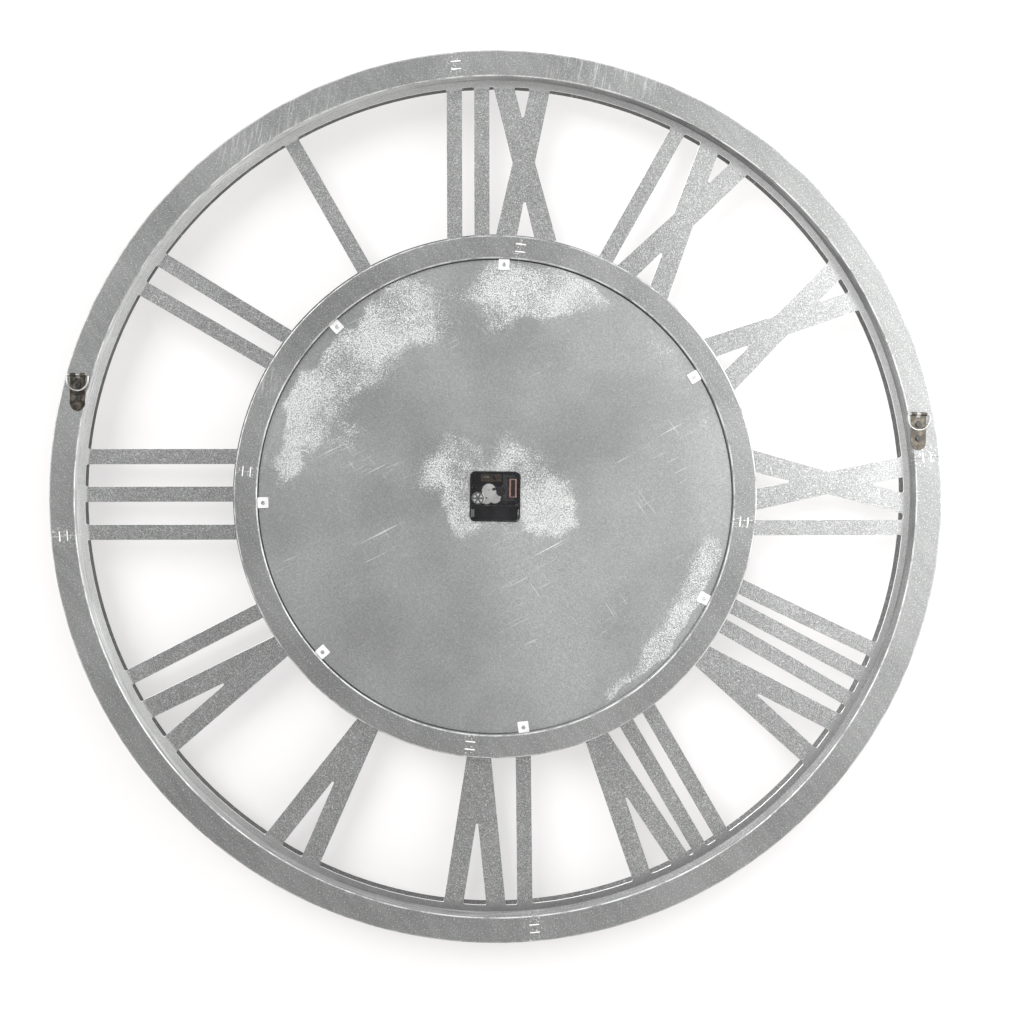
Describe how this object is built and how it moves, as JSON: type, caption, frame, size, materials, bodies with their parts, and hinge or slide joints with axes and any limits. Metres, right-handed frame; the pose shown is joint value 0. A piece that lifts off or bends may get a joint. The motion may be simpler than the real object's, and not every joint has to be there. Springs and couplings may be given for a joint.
{
  "type": "wall clock",
  "caption": "Large round open-frame wall clock with cut Roman numerals between a rim and a hub ring, a quartz movement and hanging rings.",
  "frame": {"origin": "centre of the whole clock's box, on the hands' axis", "axes": "+Z to twelve o'clock, +Y to the wall, -Y to the reader"},
  "size_m": [1, 0.0416, 1],
  "materials": {
    "silver_board": "silver paint on board, brushed and scuffed",
    "galvanised_sheet": "galvanised, fine sparkle",
    "galvanised_board": "galvanised-effect finish with white bloom",
    "dial_steel": "galvanised dial",
    "white_nylon": "moulded",
    "bright_steel": "plated",
    "staple_wire": "bare wire",
    "bronzed_steel": "antique bronze",
    "black_screw": "black oxide",
    "black_plastic": "moulded, fine grain",
    "smoked_plastic": "clear smoked",
    "gear_plastic": "natural acetal",
    "dark_plastic": "moulded",
    "magnet": "sintered",
    "motor_steel": "stamped",
    "copper_wire": "enamelled copper winding",
    "board_resin": "phenolic",
    "brass": "turned",
    "rubber": "matte",
    "black_paint": "satin black"
  },
  "bodies": {
    "clock_frame": {"rear_rim_segment_1": "silver_board", "rear_hub_segment_1": "silver_board", "front_rim_segment_1": "silver_board", "front_hub_segment_1": "silver_board", "rear_rim_segment_2": "silver_board", "rear_hub_segment_2": "silver_board", "front_rim_segment_2": "silver_board", "front_hub_segment_2": "silver_board", "rear_rim_segment_3": "silver_board", "rear_hub_segment_3": "silver_board", "front_rim_segment_3": "silver_board", "front_hub_segment_3": "silver_board", "rear_rim_segment_4": "silver_board", "rear_hub_segment_4": "silver_board", "front_rim_segment_4": "silver_board", "front_hub_segment_4": "silver_board", "numeral_sheet": "galvanised_sheet", "dial_board": "galvanised_board", "dial_face": "dial_steel", "dial_clips": "white_nylon", "clip_screws": "bright_steel", "rim_staples": "staple_wire", "hub_staples": "staple_wire", "rim_brads": "staple_wire", "hub_brads": "staple_wire", "hanger_strap_left": "bronzed_steel", "hanger_strap_right": "bronzed_steel", "hanger_screws": "black_screw", "movement_case": "black_plastic", "movement_cover": "smoked_plastic", "train_bridge": "dark_plastic", "stator": "motor_steel", "coil_core": "motor_steel", "coil_bobbin": "dark_plastic", "coil_winding": "copper_wire", "circuit_board": "board_resin", "clock_chip": "dark_plastic", "quartz_crystal": "bright_steel", "contact_negative": "bright_steel", "contact_positive": "bright_steel", "centre_bush": "brass", "dial_gasket": "rubber", "washer": "brass", "hex_nut": "brass"},
    "minute": {"minute_wheel": "gear_plastic", "minute_hand": "black_paint", "hand_nut": "black_paint"},
    "hour": {"hour_wheel": "gear_plastic", "hour_hand": "black_paint"},
    "day": {"day_wheel": "gear_plastic"},
    "knob": {"setting_knob": "dark_plastic"},
    "third": {"third_wheel": "gear_plastic"},
    "seconds": {"seconds_wheel": "gear_plastic"},
    "idler": {"idler_wheel": "dark_plastic"},
    "motor_rotor": {"rotor": "magnet"},
    "ring_left": {"hanger_ring_left": "bright_steel"},
    "ring_right": {"hanger_ring_right": "bright_steel"}
  },
  "joints": [
    {"name": "minute_spin", "type": "hinge", "parent": "clock_frame", "child": "minute", "pos_m": [0, 0, 0], "axis": [0, 1, 0], "continuous": true},
    {"name": "hour_spin", "type": "hinge", "parent": "clock_frame", "child": "hour", "pos_m": [0, 0, 0], "axis": [0, 1, 0], "continuous": true},
    {"name": "day_spin", "type": "hinge", "parent": "clock_frame", "child": "day", "pos_m": [0.00939, 0, -0.002], "axis": [0, 1, 0], "continuous": true},
    {"name": "knob_spin", "type": "hinge", "parent": "clock_frame", "child": "knob", "pos_m": [0.01939, 0, -0.002], "axis": [0, 1, 0], "continuous": true},
    {"name": "third_spin", "type": "hinge", "parent": "clock_frame", "child": "third", "pos_m": [0.0066, 0, 0.0062], "axis": [0, 1, 0], "continuous": true},
    {"name": "seconds_spin", "type": "hinge", "parent": "clock_frame", "child": "seconds", "pos_m": [0, 0, 0], "axis": [0, 1, 0], "continuous": true},
    {"name": "idler_spin", "type": "hinge", "parent": "clock_frame", "child": "idler", "pos_m": [-0.00626, 0, 0.0056], "axis": [0, 1, 0], "continuous": true},
    {"name": "rotor_spin", "type": "hinge", "parent": "clock_frame", "child": "motor_rotor", "pos_m": [-0.01085, 0, 0.0097], "axis": [0, 1, 0], "continuous": true},
    {"name": "ring_left_swing", "type": "hinge", "parent": "clock_frame", "child": "ring_left", "pos_m": [0.4691, 0.01886, 0.13017], "axis": [1, 0, 0], "range_deg": [0, 175]},
    {"name": "ring_right_swing", "type": "hinge", "parent": "clock_frame", "child": "ring_right", "pos_m": [-0.4723, 0.01886, 0.09917], "axis": [1, 0, 0], "range_deg": [0, 175]}
  ],
  "couplings": [
    {"joint": "hour_spin", "follows": "minute_spin", "ratio": 0.083333},
    {"joint": "day_spin", "follows": "minute_spin", "ratio": -0.33333},
    {"joint": "knob_spin", "follows": "minute_spin", "ratio": 0.85714},
    {"joint": "third_spin", "follows": "minute_spin", "ratio": -8},
    {"joint": "seconds_spin", "follows": "minute_spin", "ratio": 60},
    {"joint": "idler_spin", "follows": "minute_spin", "ratio": -300},
    {"joint": "rotor_spin", "follows": "minute_spin", "ratio": 1800}
  ]
}
